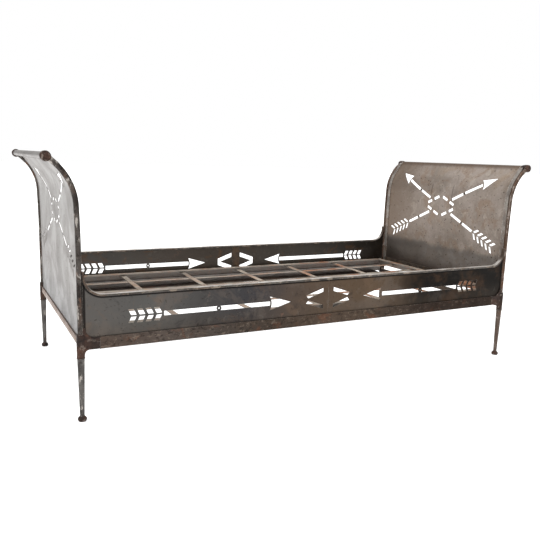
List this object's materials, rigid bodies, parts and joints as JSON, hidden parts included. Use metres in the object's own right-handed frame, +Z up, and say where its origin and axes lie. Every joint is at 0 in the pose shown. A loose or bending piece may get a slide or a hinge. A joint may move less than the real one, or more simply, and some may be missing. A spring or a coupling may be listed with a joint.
{
  "type": "daybed",
  "caption": "Narrow metal daybed with two outward-flared sheet ends, low pierced side rails, tapered legs on button feet and a lift-out strap deck for a single mattress.",
  "frame": {"origin": "on the floor below the middle of the bed", "axes": "+X along the bed to its right end, -Y the front, +Z up"},
  "size_m": [2.1408, 0.935, 0.8981],
  "materials": {
    "sheet_steel": "aged dark patina, satin",
    "dark_bar": "dark patina with worn edges",
    "rusted_bar": "pitted brown rust",
    "leg_steel": "worn grey steel",
    "casting": "brown pitted iron",
    "deck_strap": "light surface rust"
  },
  "bodies": {
    "bed_frame": {"bottom_bar_front": "rusted_bar", "bottom_bar_rear": "rusted_bar", "cap_knob_front_left": "casting", "cap_knob_front_right": "casting", "cap_knob_rear_left": "casting", "cap_knob_rear_right": "casting", "corner_casting_front_left": "casting", "corner_casting_front_right": "casting", "corner_casting_rear_left": "casting", "corner_casting_rear_right": "casting", "deck_ledge_front": "rusted_bar", "deck_ledge_rear": "rusted_bar", "edge_strip_front_left": "dark_bar", "edge_strip_front_right": "dark_bar", "edge_strip_rear_left": "dark_bar", "edge_strip_rear_right": "dark_bar", "end_bar_left": "rusted_bar", "end_bar_right": "rusted_bar", "end_panel_left": "sheet_steel", "end_panel_right": "sheet_steel", "end_stiffener_left": "rusted_bar", "end_stiffener_right": "rusted_bar", "foot_front_left": "casting", "foot_front_right": "casting", "foot_rear_left": "casting", "foot_rear_right": "casting", "leg_front_left": "leg_steel", "leg_front_right": "leg_steel", "leg_rear_left": "leg_steel", "leg_rear_right": "leg_steel", "moulding_rivets": "dark_bar", "post_front_left": "dark_bar", "post_front_right": "dark_bar", "post_rear_left": "dark_bar", "post_rear_right": "dark_bar", "seam_batten_front": "rusted_bar", "seam_batten_rear": "rusted_bar", "side_panel_front_left": "sheet_steel", "side_panel_front_right": "sheet_steel", "side_panel_rear_left": "sheet_steel", "side_panel_rear_right": "sheet_steel", "top_bar_left": "dark_bar", "top_bar_right": "dark_bar", "top_moulding_front": "dark_bar", "top_moulding_rear": "dark_bar"},
    "mattress_deck": {"deck_end_left": "deck_strap", "deck_end_right": "deck_strap", "deck_side_front": "deck_strap", "deck_side_rear": "deck_strap", "long_strap_1": "deck_strap", "long_strap_2": "deck_strap", "long_strap_3": "deck_strap", "long_strap_4": "deck_strap", "cross_strap_1": "deck_strap", "cross_strap_2": "deck_strap", "cross_strap_3": "deck_strap", "cross_strap_4": "deck_strap", "cross_strap_5": "deck_strap", "deck_rivets": "deck_strap"}
  },
  "joints": [
    {"name": "deck_lift", "type": "slide", "parent": "bed_frame", "child": "mattress_deck", "axis": [0, 0, 1], "range_m": [0, 0.6]}
  ]
}
